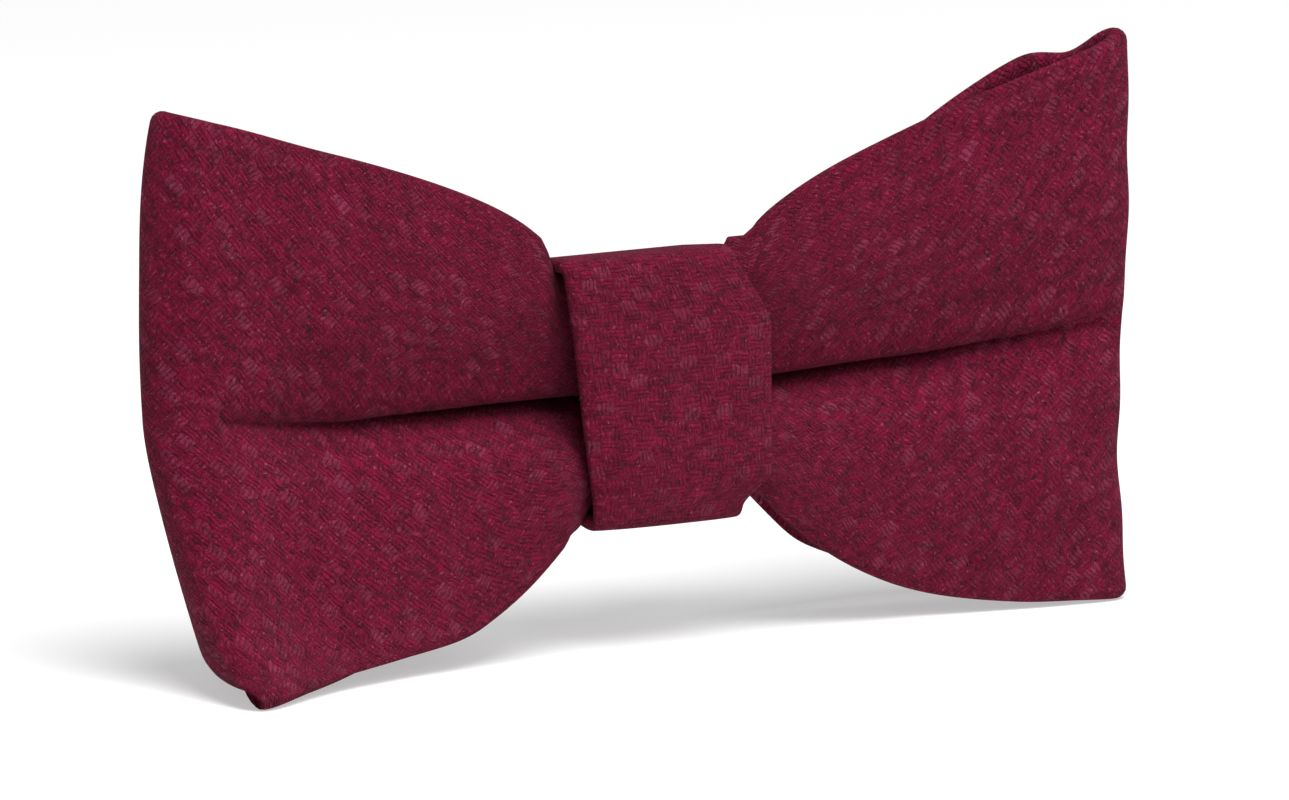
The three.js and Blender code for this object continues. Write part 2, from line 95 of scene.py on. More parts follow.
RIPPLE_STARTS = (0.05, 0.3)
RIPPLE_WAVES = 7
RIPPLE_SPREAD = (0.6, 1.7)
RIPPLE_SCALE = 3
REAR_RIPPLE_SEED = SEED + 20
SOFT_SHARE = 0.48  # share of the crease's depth that is a wide hollow
TIP_DIP = 1.2  # the rear layer's upper edge dips just behind the outer fold
TIP_DIP_AT = 0.1
TIP_DIP_WIDTH = 0.06
LAYERS_PARTED = 0.12  # share of a layer's length by which front and rear are fully their own shapes
LAYERS_SPREAD = (0.1, 0.85)  # outward shares between which the layers reach the outer half gap
PUFF_FADE = 2.2
OUTER_PUFF_GAIN = 3
LOBE_SKEW = 0.8
LOBE_FULLNESS = 0.4
LOBE_FULLNESS_GROWS = 0.35
CREASE_FADE = 0.6
CREASE_ABOVE = 1.5  # how far the sharp crease reaches above and below its line
CREASE_BELOW = 2.8
CREASE_BELOW_GROWS = 1.5
CREASE_POWER = 1.3
HOLLOW_ABOVE = 8.5  # how far the wide hollow reaches above and below it
HOLLOW_BELOW = 5.0
CREASE_EASE = 0.1
REAR_FLARE_SKEW = 0.6
LEAN_POWER = 1.5
LEAN_STARTS = (9.0, 13.0)
LIP_AT = 1.9  # the upper lobe hangs over the crease round this height
LIP_WIDTH = 1.9
DROP_CHANGES = (0.45, 0.85)
TAPER_ENDS = 0.3
CORNER_POWER = 6
CORNER_STARTS = 0.6

KNOT_SQUARENESS = 8.0
KNOT_TAPER = 0.18  # how much lower the knot is behind than in front
KNOT_SAG = 1.9  # how much further the knot reaches below its middle than above it
KNOT_LEFT = 11.1  # the front band's edges at the knot's middle height
KNOT_RIGHT = 13.2
KNOT_LEFT_SLANT = 2.0
KNOT_RIGHT_TOP_CUT = 4.6
KNOT_RIGHT_TOP_STARTS = (0.3, 1.0)
KNOT_RIGHT_LOW_CUT = 3.4
KNOT_RIGHT_LOW_STARTS = (0.75, 1.0)
KNOT_BEHIND = 9.0  # half width of the band behind
KNOT_NARROWING = 1.2
KNOT_FACE = 0.55  # share of the depth by which the front's own shaping has faded out
KNOT_CROWN = 0.55  # how far the face swells in its middle
KNOT_EDGE_DROP = 0.5
KNOT_EDGE_POWER = 8
KNOT_RIPPLE = 0.10
KNOT_RIPPLE_WAVE = 9
KNOT_SEED = SEED + 5
KNOT_SEAM_GAP = 0.004  # share of the ring left open on each side of the seam behind
BAND_ROWS = 160
BAND_COLUMNS = 60

# ---------- wool ----------
CLOTH_HALF_WIDTH = 31.0
CELL_LONG = 2.15  # one group of threads in the weave
CELL_SHORT = 1.4
WARP_THREADS = 4  # threads in one cell
WEFT_THREADS = 3
THREAD_ROUNDNESS = 0.6
THREAD_ARCH = 0.75
WOBBLE_LONG = 1.5
WOBBLE_SHORT = 1.2
WEAVE_RELIEF = 0.8
FUZZ_RELIEF = 0.5
FELT_RELIEF = 1.3
WOOL_BUMP = 0.00034
WOOL_WINE = (0.135, 0.008, 0.032)
WOOL_DUSTY = (0.260, 0.050, 0.102)
WOOL_DEEP = (0.090, 0.002, 0.014)
WOOL_CRIMSON = (0.220, 0.004, 0.038)
WOOL_CHARCOAL = (0.030, 0.008, 0.014)
WOOL_PALE = (0.33, 0.090, 0.150)

# ---------- studio ----------
CAMERA_AZIMUTH = -30.0
CAMERA_ELEVATION = 10.0
CAMERA_DISTANCE = 2.6
FRAME_WIDTH = 0.1386
AIM = Vector((-0.00088, -0.0030, 0.0267))
SENSOR = 36.0
FLOOR_WHITE = 0.54
FLOOR_GLOW = 0.45
ROOM_LIGHT = 0.22
TOP_LIGHT_PLACE = (0.02, -0.44, 1.08)
TOP_LIGHT_SIZE = 0.8
TOP_POWER_W = 18.5
FRONT_LIGHT_PLACE = (0.20, -1.05, 0.85)
FRONT_LIGHT_SIZE = 0.7
FRONT_POWER_W = 3.6
FLOOR_REACH = 6.0

# ---------- canvas ----------
CANVAS_PITCH = 0.6
CANVAS_FROM = 1.0  # depths under the wing's outer face
CANVAS_TO = 1.4
CANVAS_INSET = 3.0
CANVAS_ROWS = 150
CANVAS_COLUMNS = 110
LINING_FROM = BAND + 0.2
LINING_TO = BAND + 0.6
LINING_INSET = 5.0
LINING_ROWS = 80
LINING_COLUMNS = 24

# ---------- bending and metal ----------
PLATE_BEVEL = 0.12
JAW_BEVEL = 0.10
BEVEL_SEGMENTS = 2
BEVEL_ANGLE = 35
FLAT_ANGLE = 2
WELD_DISTANCE = 1e-6

# How each wing hangs. crease_* follow the deep fold that runs outwards from the knot.
WINGS = {
    "left": dict(
        sign=-1,
        curl=0.0,
        flare=19.0,
        half_gap=4.6,
        crease_depth=6.2,
        crease_end=0.86,
        crease_line=(-1.6, -2.2, -0.4),
        overhang=1.7,
        top=(14.4, 18.6, 0.58),
        top_opens=(11.0, 13.6),
        bottom_opens=(7.6, 9.6),
        bottom=(16.6, 4.4),
        rear_spread=1.1,
        rear_drop=(1.0, 1.6),
        rear_flare=7.0,
        corner_inset=1.6,
        edge_inset=(1.5, -0.6, 0.45),
        low_lean=3.4,
        floor_lift=1.75,
        dent=1.5,
    ),
    "right": dict(
        sign=1,
        curl=6.7,
        flare=0.5,
        half_gap=4.8,
        crease_depth=6.0,
        crease_end=1.25,
        crease_line=(-1.8, -0.6, 2.2),
        overhang=1.5,
        top=(15.0, 18.5, 0.68),
        top_opens=(7.6, 9.8),
        bottom_opens=(8.6, 11.0),
        bottom=(14.0, 3.2),
        rear_spread=0.8,
        rear_drop=(4.2, 0.8),
        rear_flare=6.0,
        corner_inset=0.2,
        edge_inset=(1.2, -0.4, 0.45),
        low_lean=1.6,
        floor_lift=0.2,
        dent=0.0,
    ),
}
LIFT_ENDS = 4.2  # above this height a wing is not raised; at LIFT_FULL and below it is raised by floor_lift
LIFT_FULL = -0.9
DENT_OUTWARDS = 0.72
DENT_ACROSS = -0.70
DENT_WIDTH = 0.16
DENT_HEIGHT = 0.22


def smooth(low, high, x):
    share = np.clip((x - low) / (high - low), 0, 1)
    return share * share * (3 - 2 * share)


def bell(x, width):
    return np.exp(-((x / width) ** 2))


def wing_reach(along):
    way = np.abs(along)
    turn = np.hypot(way, FOLD_ROUND) - FOLD_ROUND
    return 1 - turn / (math.hypot(1, FOLD_ROUND) - FOLD_ROUND)


def wing_halves(side, x, spread):
    """Heights of the wing's upper and lower edges from the knot's middle."""
    top_root, top_rise, top_power = WINGS[side]["top"]
    bottom_root, bottom_power = WINGS[side]["bottom"]
    share = np.clip((x - MOUTH_X) / (WING_END_X - MOUTH_X), 0, 1)
    low_share = np.clip(spread * share, 0, 1)
    top = top_root + top_rise * share**top_power
    bottom = bottom_root + (KNOT_Z - bottom_root) * (1 - (1 - low_share) ** bottom_power)
    top = ROOT_TOP + (top - ROOT_TOP) * smooth(*WINGS[side]["top_opens"], x)
    bottom = ROOT_BOTTOM + (bottom - ROOT_BOTTOM) * smooth(*WINGS[side]["bottom_opens"], x)
    return top, bottom


def ripple(u, v, seed, scale):
    """A soft, seeded unevenness of about one unit."""
    generator = np.random.default_rng(seed)
    total = np.zeros(np.broadcast(u, v).shape)
    for _ in range(RIPPLE_WAVES):
        direction = generator.uniform(0, 2 * math.pi)
        wave = scale * generator.uniform(*RIPPLE_SPREAD)
        phase = generator.uniform(0, 2 * math.pi)
        total += np.sin(2 * math.pi * (u * math.cos(direction) + v * math.sin(direction)) / wave + phase)
    return total / RIPPLE_SCALE


def wing_outside(side, along, across):
    """The outer face of a wing's loop, in mm.

    along is -1 at the knot's front, 0 at the outer fold and 1 behind; across is -1 below and 1 above.
    """
    p = WINGS[side]
    way = np.abs(along)
    reach = wing_reach(along)
    x = ROOT_X + reach * (WING_END_X - ROOT_X)
    front = along < 0
    # Nothing differs between the layers where they meet in the outer fold.
    parted = smooth(0.0, LAYERS_PARTED, way)
    top, bottom = wing_halves(side, x, np.where(front, 1, 1 + (p["rear_spread"] - 1) * parted))
    outwards = np.clip((x - KNOT_HALF_WIDTH) / (WING_END_X - KNOT_HALF_WIDTH), 0, 1)

    half = np.where(across > 0, top, bottom)
    rise = across * half
    line = np.interp(outwards, (0, 0.5, 1), p["crease_line"])
    from_crease = rise - line * (1 - across**2)

    opening = way / np.hypot(way, FOLD_OPEN)
    spread = smooth(*LAYERS_SPREAD, outwards)
    root = np.where(front, ROOT_FRONT, ROOT_REAR)
    depth = (root + (p["half_gap"] - root) * spread) * opening
    outer_stand = OUTER_PUFF * outwards * (1 - outwards) * OUTER_PUFF_GAIN
    stand = FRONT_PUFF * (1 - outwards) ** PUFF_FADE + outer_stand
    puff = np.where(front, stand, REAR_PUFF) * opening
    fullness = LOBE_FULLNESS + LOBE_FULLNESS_GROWS * outwards
    lobes = np.sin(math.pi * np.clip(np.abs(from_crease) / half, 0, 1) ** LOBE_SKEW) ** fullness

    fade = np.clip(1 - outwards / p["crease_end"], 0, 1) ** CREASE_FADE
    steep = np.where(from_crease > 0, CREASE_ABOVE, CREASE_BELOW + CREASE_BELOW_GROWS * outwards)
    hollow = np.where(from_crease > 0, HOLLOW_ABOVE, HOLLOW_BELOW)
    sharp = np.exp(-((np.abs(from_crease) / steep) ** CREASE_POWER))
    valley = (1 - SOFT_SHARE) * sharp + SOFT_SHARE * bell(from_crease, hollow)
    edge_ease = smooth(0.0, CREASE_EASE, way)
    crease = np.where(front, p["crease_depth"], REAR_CREASE) * fade * valley * edge_ease

    low = np.clip(-across, 0, 1)
    outer = depth + puff * lobes - crease
    back = p["rear_flare"] * low * np.sin(math.pi * np.clip(way, 0, 1) ** REAR_FLARE_SKEW)
    lean = p["low_lean"] * low**LEAN_POWER * (1 - outwards) ** LEAN_POWER * smooth(*LEAN_STARTS, x)
    y = np.where(front, -outer - lean, outer + back)
    follow = np.clip(reach, 0, 1) ** np.where(front, FRONT_FORWARD, REAR_FORWARD)
    y = y - follow * (p["curl"] + p["flare"] * low**FLARE_POWER)
    dent = bell(outwards - DENT_OUTWARDS, DENT_WIDTH) * bell(across - DENT_ACROSS, DENT_HEIGHT)
    y = y + p["dent"] * dent
    behind = np.where(front, 0, parted)
    front_waves = ripple(x, rise, SEED + p["sign"], RIPPLE_WAVE)
    rear_waves = ripple(x, rise, REAR_RIPPLE_SEED, RIPPLE_WAVE)
    waves = (1 - behind) * front_waves + behind * rear_waves
    y = y + RIPPLE * waves * smooth(*RIPPLE_STARTS, outwards)

    lip = p["overhang"] * fade * bell(from_crease - LIP_AT, LIP_WIDTH) * np.where(front, edge_ease, 0)
    near_drop, far_drop = p["rear_drop"]
    drop = near_drop * (1 - smooth(*DROP_CHANGES, outwards)) + far_drop
    drop = drop + TIP_DIP * bell(way - TIP_DIP_AT, TIP_DIP_WIDTH)
    rise = rise - lip - behind * drop * np.clip(across, 0, 1)
    rise = rise * (1 - np.where(front, 0, KNOT_TAPER) * (1 - smooth(0, TAPER_ENDS, outwards)))
    edge_depth, edge_at, edge_width = p["edge_inset"]
    corner = p["corner_inset"] * np.abs(across) ** CORNER_POWER
    corner = corner + edge_depth * bell(across - edge_at, edge_width)
    corner = corner * smooth(CORNER_STARTS, 1, reach)
    z = KNOT_Z + rise
    z = z + p["floor_lift"] * smooth(LIFT_ENDS, LIFT_FULL, z)
    return np.stack([p["sign"] * (x - corner), y + WING_Y, z], axis=-1)


def outward_normal(surface, along, across):
    step = NORMAL_STEP
    along_way = surface(along + step, across) - surface(along - step, across)
    across_way = surface(along, across + step) - surface(along, across - step)
    normal = np.cross(along_way, across_way)
    return normal / np.maximum(np.linalg.norm(normal, axis=-1, keepdims=True), 1e-9)


def grid_mesh(name, points, uv):
    """A closed skin from rings of points; each row is one ring."""
    rows, count = points.shape[:2]
    index = np.arange(rows * count).reshape(rows, count)
    ahead = np.roll(index, -1, axis=1)
    quads = np.stack([index[:-1], ahead[:-1], ahead[1:], index[1:]], axis=-1).reshape(-1, 4)
    faces = quads.tolist()
    for row in (0, rows - 1):
        for i in range(count // 2 - 1):
            far = count - 1 - i
            ring = [index[row, i], index[row, far], index[row, far - 1], index[row, i + 1]]
            faces.append([int(v) for v in (ring if row == 0 else ring[::-1])])
    mesh = bpy.data.meshes.new(name)
    mesh.from_pydata((points.reshape(-1, 3) * MM).tolist(), [], faces)
    layer = mesh.uv_layers.new(name="cloth")
    flat = uv.reshape(-1, 2)
    loops = np.zeros(len(mesh.loops), int)
    mesh.loops.foreach_get("vertex_index", loops)
    layer.data.foreach_set("uv", flat[loops].astype(np.float32).ravel())
    mesh.polygons.foreach_set("use_smooth", [True] * len(mesh.polygons))
    mesh.update()
    thing = bpy.data.objects.new(name, mesh)
    bpy.context.scene.collection.objects.link(thing)
    fix_normals(thing)
    return thing


def fix_normals(thing):
    work = bmesh.new()
    work.from_mesh(thing.data)
    bmesh.ops.recalc_face_normals(work, faces=work.faces)
    if work.calc_volume(signed=True) < 0:
        bmesh.ops.reverse_faces(work, faces=work.faces)
    work.to_mesh(thing.data)
    work.free()


def ring_columns(columns):
    """One trip round a flat tube's section: place across the flat part, way into the edge, share of depth."""
    even = np.linspace(-1, 1, columns)
    flat = even * (1 - CREASE_CROWDING) + CREASE_CROWDING * even**3
    angles = np.linspace(0, math.pi / 2, EDGE_STEPS + 1)[1:]
    outwards = [(math.sin(a), math.cos(a)) for a in angles]
    inwards = outwards[-2::-1]
    upper = [(1, out, -turn) for out, turn in outwards] + [(1, out, turn) for out, turn in inwards]
    lower = [(-1, out, turn) for out, turn in outwards] + [(-1, out, -turn) for out, turn in inwards]
    face = [(v, 0, -1) for v in flat]
    back = [(v, 0, 1) for v in flat[::-1]]
    return face + upper + back + lower


def wing_layer(side, name, shallow, deep, rows, columns, inset):
    """A closed layer of a wing between two depths under its outer face, in mm."""
    even = np.linspace(-1, 1, rows)
    along = np.sign(even) * np.abs(even) ** ROWS_CROWDING
    half = (deep - shallow) / 2
    middle = (deep + shallow) / 2
    top, bottom = wing_halves(side, ROOT_X + wing_reach(along) * (WING_END_X - ROOT_X), 1)
    across = []
    depths = []
    for flat, edge, depth in ring_columns(columns):
        limit = np.where(flat > 0, top, bottom)
        across.append(flat * (1 - (half + inset) / limit) + np.sign(flat) * edge * half / limit)
        depths.append(middle + half * depth)
    across = np.stack(across, axis=1)
    along = np.repeat(along[:, None], across.shape[1], axis=1)
    points = wing_outside(side, along, across)
    normal = outward_normal(lambda a, c: wing_outside(side, a, c), along, across)
    if normal[rows // 4, columns // 4, 1] > 0:
        normal = -normal
    points = points - normal * np.array(depths)[None, :, None]
    steps = np.linalg.norm(np.diff(points[:, columns // 2], axis=0), axis=-1)
    length = np.concatenate([[0], np.cumsum(steps)])
    uv = np.stack([np.repeat(length[:, None], across.shape[1], axis=1), across * CLOTH_HALF_WIDTH], axis=-1)
    return grid_mesh(name, points, uv)


# ---------- knot ----------
def knot_ring(share):
    """A point round the knot's section, starting behind it."""
    angle = 2 * math.pi * share
    power = 2 / KNOT_SQUARENESS
    middle = (KNOT_FRONT + KNOT_BACK) / 2
    c = np.cos(angle)
    s = np.sin(angle)
    y = middle + np.sign(c) * np.abs(c) ** power * ((KNOT_BACK - KNOT_FRONT) / 2)
    height = KNOT_HALF_HEIGHT + np.where(s < 0, KNOT_SAG, 0)
    taper = 1 - KNOT_TAPER * (y - KNOT_FRONT) / (KNOT_BACK - KNOT_FRONT)
    z = KNOT_Z + np.sign(s) * np.abs(s) ** power * height * taper
    return y, z


def knot_limits(y, z):
    """The band's left and right edges at a place round the knot."""
    back = np.clip((y - KNOT_FRONT) / (KNOT_BACK - KNOT_FRONT), 0, 1)
    high = (z - KNOT_Z) / KNOT_HALF_HEIGHT
    left = -KNOT_LEFT - KNOT_LEFT_SLANT * high
    top_cut = KNOT_RIGHT_TOP_CUT * smooth(*KNOT_RIGHT_TOP_STARTS, high)
    low_cut = KNOT_RIGHT_LOW_CUT * smooth(*KNOT_RIGHT_LOW_STARTS, -high)
    right = KNOT_RIGHT - top_cut - low_cut
    behind = back**KNOT_NARROWING
    return left + (-KNOT_BEHIND - left) * behind, right + (KNOT_BEHIND - right) * behind


def knot_outside(share, across):
    y, z = knot_ring(share)
    left, right = knot_limits(y, z)
    front = smooth(KNOT_FACE, 0.0, (y - KNOT_FRONT) / (KNOT_BACK - KNOT_FRONT))
    x = left + (right - left) * (across + 1) / 2
    edge_drop = KNOT_EDGE_DROP * front * np.abs(across) ** KNOT_EDGE_POWER
    y = y - KNOT_CROWN * front * (1 - across**2) + edge_drop
    y = y + KNOT_RIPPLE * ripple(x, z, KNOT_SEED, KNOT_RIPPLE_WAVE) * front
    return np.stack([x, y, z], axis=-1)


def knot_layer(name, shallow, deep, rows, columns, inset):
    half = (deep - shallow) / 2
    middle = (deep + shallow) / 2
    share = np.linspace(KNOT_SEAM_GAP, 1 - KNOT_SEAM_GAP, rows)
    across = []
    depths = []
    for flat, edge, depth in ring_columns(columns):
        value = flat * (1 - (half + inset) / KNOT_HALF_WIDTH) + np.sign(flat) * edge * half / KNOT_HALF_WIDTH
        across.append(np.full(rows, value))
        depths.append(middle + half * depth)
    across = np.stack(across, axis=1)
    share = np.repeat(share[:, None], across.shape[1], axis=1)
    points = knot_outside(share, across)
    normal = outward_normal(knot_outside, share, across)
    if normal[rows // 2, columns // 2, 1] > 0:
        normal = -normal
    points = points - normal * np.array(depths)[None, :, None]
    steps = np.linalg.norm(np.diff(points[:, columns // 2], axis=0), axis=-1)
    length = np.concatenate([[0], np.cumsum(steps)])
    uv = np.stack([across * KNOT_HALF_WIDTH, np.repeat(length[:, None], across.shape[1], axis=1)], axis=-1)
    return grid_mesh(name, points, uv)


# ---------- looks ----------
class Nodes:
    """Short names for building one material's nodes."""

    def __init__(self, name):
        self.material = bpy.data.materials.new(name)
        self.material.use_nodes = True
        self.tree = self.material.node_tree
        self.shader = self.tree.nodes["Principled BSDF"]

    def link(self, source, target):
        self.tree.links.new(source, target)

    def math(self, operation, *values):
        node = self.tree.nodes.new("ShaderNodeMath")
        node.operation = operation
        for socket, value in zip(node.inputs, values):
            if hasattr(value, "is_output"):
                self.link(value, socket)
            else:
                socket.default_value = value
        return node.outputs[0]

    def vector(self, x, y, z=0.0):
        node = self.tree.nodes.new("ShaderNodeCombineXYZ")
        for socket, value in zip(node.inputs, (x, y, z)):
            if hasattr(value, "is_output"):
                self.link(value, socket)
            else:
                socket.default_value = value
        return node.outputs[0]

    def uv(self):
        node = self.tree.nodes.new("ShaderNodeUVMap")
        node.uv_map = "cloth"
        split = self.tree.nodes.new("ShaderNodeSeparateXYZ")
        self.link(node.outputs[0], split.inputs[0])
        return split.outputs[0], split.outputs[1]

    def place(self):
        return self.tree.nodes.new("ShaderNodeTexCoord").outputs["Object"]

    def noise(self, at, scale, detail=2.0, roughness=0.5):
        node = self.tree.nodes.new("ShaderNodeTexNoise")
        self.link(at, node.inputs["Vector"])
        node.inputs["Scale"].default_value = scale
        node.inputs["Detail"].default_value = detail
        node.inputs["Roughness"].default_value = roughness
        return node.outputs["Fac"]

    def random(self, at):
        node = self.tree.nodes.new("ShaderNodeTexWhiteNoise")
        self.link(at, node.inputs["Vector"])
        return node.outputs["Value"]

    def mix(self, share, first, second, mode="MIX"):
        node = self.tree.nodes.new("ShaderNodeMix")
        node.data_type = "RGBA"
        node.blend_type = mode
        for socket, value in ((node.inputs[0], share), (node.inputs[6], first), (node.inputs[7], second)):
            if hasattr(value, "is_output"):
                self.link(value, socket)
            elif isinstance(value, tuple):
                socket.default_value = (*value, 1.0)
            else:
                socket.default_value = value
        return node.outputs[2]

    def remap(self, value, low, high, to_low=0.0, to_high=1.0):
        node = self.tree.nodes.new("ShaderNodeMapRange")
        self.link(value, node.inputs["Value"])
        for name, number in (("From Min", low), ("From Max", high), ("To Min", to_low), ("To Max", to_high)):
            node.inputs[name].default_value = number
        return node.outputs["Result"]

    def bump(self, height, strength, distance):
        node = self.tree.nodes.new("ShaderNodeBump")
        node.inputs["Strength"].default_value = strength
        node.inputs["Distance"].default_value = distance
        self.link(height, node.inputs["Height"])
        self.link(node.outputs[0], self.shader.inputs["Normal"])


def turned(n, u, v, turn_degrees):
    """Cloth coordinates turned by an angle."""
    turn = math.radians(turn_degrees)
    p = n.math("ADD", n.math("MULTIPLY", u, math.cos(turn)), n.math("MULTIPLY", v, math.sin(turn)))
    q = n.math("SUBTRACT", n.math("MULTIPLY", v, math.cos(turn)), n.math("MULTIPLY", u, math.sin(turn)))
    return p, q


def wobbled(n, p, q):
    """The same coordinates, drawn a little out of line as woollen threads are."""
    at = n.vector(p, q)
    off_p = n.math("SUBTRACT", n.noise(at, scale=0.45, detail=4.0, roughness=0.75), 0.5)
    p = n.math("ADD", p, n.math("MULTIPLY", off_p, WOBBLE_LONG))
    off_q = n.math("SUBTRACT", n.noise(at, scale=0.41, detail=4.0, roughness=0.75), 0.5)
    q = n.math("ADD", q, n.math("MULTIPLY", off_q, WOBBLE_SHORT))
    return p, q


def threads(n, across, count, along):
    """The relief of one cell's threads: round across, and arched where they dive under the next cell."""
    wave = n.math("ABSOLUTE", n.math("SINE", n.math("MULTIPLY", across, math.pi * count)))
    arch = n.math("POWER", n.math("SINE", n.math("MULTIPLY", along, math.pi)), 0.5)
    arched = n.math("ADD", 1 - THREAD_ARCH, n.math("MULTIPLY", arch, THREAD_ARCH))
    return n.math("MULTIPLY", n.math("POWER", wave, THREAD_ROUNDNESS), arched)


def weave(n, p, q):
    """Groups of threads over and under each other.

    Returns the cell, the warp's relief, where the warp is on top, and the height.
    """
    cell_p = n.math("DIVIDE", p, CELL_LONG)
    cell_q = n.math("DIVIDE", q, CELL_SHORT)
    across_p = n.math("FRACT", cell_p)
    across_q = n.math("FRACT", cell_q)
    cell = n.vector(n.math("FLOOR", cell_p), n.math("FLOOR", cell_q))
    parity = n.math("FLOORED_MODULO", n.math("ADD", n.math("FLOOR", cell_p), n.math("FLOOR", cell_q)), 2.0)
    is_weft = n.math("GREATER_THAN", parity, 0.5)
    is_warp = n.math("SUBTRACT", 1.0, is_weft)
    warp = threads(n, across_p, WARP_THREADS, across_q)
    weft = threads(n, across_q, WEFT_THREADS, across_p)
    height = n.math("ADD", n.math("MULTIPLY", warp, is_warp), n.math("MULTIPLY", weft, is_weft))
    return cell, warp, is_warp, height


def wool_bumps(n, p, q, height, fuzz):
    felt_at = n.vector(p, n.math("MULTIPLY", q, 1.6), 21.0)
    felt = n.noise(felt_at, scale=1.7, detail=4.0, roughness=0.7)
    grain = n.math("ADD", n.math("MULTIPLY", height, WEAVE_RELIEF), n.math("MULTIPLY", fuzz, FUZZ_RELIEF))
    n.bump(n.math("ADD", grain, n.math("MULTIPLY", felt, FELT_RELIEF)), strength=1.0, distance=WOOL_BUMP)


def wool_colour(n, p, q, cell_tone, warp, is_warp):
    """Dyed fibres of several reds, with pale and dark flecks."""
    mottle_at = n.vector(p, n.math("MULTIPLY", q, 1.5), 3.0)
    mottle = n.noise(mottle_at, scale=0.62, detail=5.0, roughness=0.72)
    fibres_at = n.vector(p, n.math("MULTIPLY", q, 2.2), 7.0)
    fibres = n.noise(fibres_at, scale=2.6, detail=3.0, roughness=0.7)
    strands_at = n.vector(n.math("MULTIPLY", p, 3.4), n.math("MULTIPLY", q, 0.9), 5.0)
    strands = n.noise(strands_at, scale=1.6, detail=2.0, roughness=0.6)
    dark_at = n.vector(p, n.math("MULTIPLY", q, 1.8), 13.0)
    dark = n.noise(dark_at, scale=0.95, detail=3.0, roughness=0.6)

    colour = n.mix(n.remap(mottle, 0.38, 0.62), WOOL_DEEP, WOOL_CRIMSON)
    colour = n.mix(n.remap(fibres, 0.45, 0.75, to_high=0.75), colour, WOOL_WINE)
    strokes = n.math("MULTIPLY", n.math("MULTIPLY", warp, is_warp), n.remap(cell_tone, 0.45, 1.0, to_high=0.5))
    dusty = n.math("MULTIPLY", strokes, n.remap(mottle, 0.35, 0.6, to_low=0.35, to_high=1.0))
    colour = n.mix(dusty, colour, WOOL_DUSTY)
    colour = n.mix(n.remap(strands, 0.58, 0.76, to_high=0.75), colour, WOOL_PALE)
    return n.mix(n.remap(dark, 0.58, 0.70, to_high=0.8), colour, WOOL_CHARCOAL)


def wool_painted_shade_and_tone(n, p, q, height, fuzz):
    """Painted shade: the colour darkened between the threads, where they dip; also darker and lighter with the
    nap, and a slow change of tone over the cloth.
    """
    wide_tone = n.noise(n.vector(p, q), scale=0.16, detail=3.0)
    # painted shade: the colour falls to 0.52 of itself where the threads' relief is low, between them
    hollow = n.remap(height, 0.0, 0.45, to_low=0.52, to_high=1.0)
    shade = n.math("MULTIPLY", hollow, n.remap(wide_tone, 0.3, 0.7, to_low=0.90, to_high=1.10))
    shade = n.math("MULTIPLY", shade, n.remap(fuzz, 0.30, 0.72, to_low=0.62, to_high=1.38))
    return n.vector(shade, shade, shade)


def hopsack(name, turn_degrees):
    """Heathered woollen hopsack: groups of threads over and under each other, with flecks, a soft nap and
    painted shade between the threads.
    """
    n = Nodes(name)
    u, v = n.uv()
    p, q = wobbled(n, *turned(n, u, v, turn_degrees))
    cell, warp, is_warp, height = weave(n, p, q)
    fuzz = n.noise(n.vector(p, q), scale=5.5, detail=3.0, roughness=0.7)
    wool_bumps(n, p, q, height, fuzz)
    colour = wool_colour(n, p, q, n.random(cell), warp, is_warp)
    # the wool's colour times the painted shade between the threads, the nap's tone and the slow tone
    colour = n.mix(1.0, colour, wool_painted_shade_and_tone(n, p, q, height, fuzz), "MULTIPLY")
    n.link(colour, n.shader.inputs["Base Color"])
    n.shader.inputs["Roughness"].default_value = 0.92
    n.shader.inputs["Specular IOR Level"].default_value = 0.08
    n.shader.inputs["Sheen Weight"].default_value = 0.05
    n.shader.inputs["Sheen Roughness"].default_value = 0.45
    n.shader.inputs["Sheen Tint"].default_value = (0.85, 0.45, 0.58, 1.0)
    return n.material


def straight_plain():
    """The same wool for the gathered waist, which has no cloth coordinates of its own."""
    n = Nodes("wool_waist")
    at = n.place()
    tone = n.noise(at, scale=900.0, detail=4.0, roughness=0.7)
    n.link(n.mix(tone, WOOL_DEEP, WOOL_DUSTY), n.shader.inputs["Base Color"])
    n.bump(tone, strength=0.8, distance=0.0003)
    n.shader.inputs["Roughness"].default_value = 0.95
    return n.material


def canvas_look():
    n = Nodes("stiffening_canvas")
    u, v = n.uv()
    across = n.math("ABSOLUTE", n.math("SINE", n.math("MULTIPLY", u, math.pi / CANVAS_PITCH)))
    along = n.math("ABSOLUTE", n.math("SINE", n.math("MULTIPLY", v, math.pi / CANVAS_PITCH)))
    n.bump(n.math("MULTIPLY", across, along), strength=0.6, distance=0.0002)
    tone = n.noise(n.vector(u, v), scale=1.2, detail=3.0)
    n.link(n.mix(tone, (0.62, 0.56, 0.44), (0.80, 0.75, 0.64)), n.shader.inputs["Base Color"])
    n.shader.inputs["Roughness"].default_value = 0.9
    return n.material


def thread_look():
    n = Nodes("sewing_thread")
    at = n.place()
    tone = n.noise(at, scale=3000.0, detail=2.0)
    n.link(n.mix(tone, (0.10, 0.012, 0.03), (0.30, 0.05, 0.11)), n.shader.inputs["Base Color"])
    n.bump(n.noise(at, scale=5000.0, detail=2.0), strength=0.5, distance=0.00008)
    n.shader.inputs["Roughness"].default_value = 0.6
    return n.material


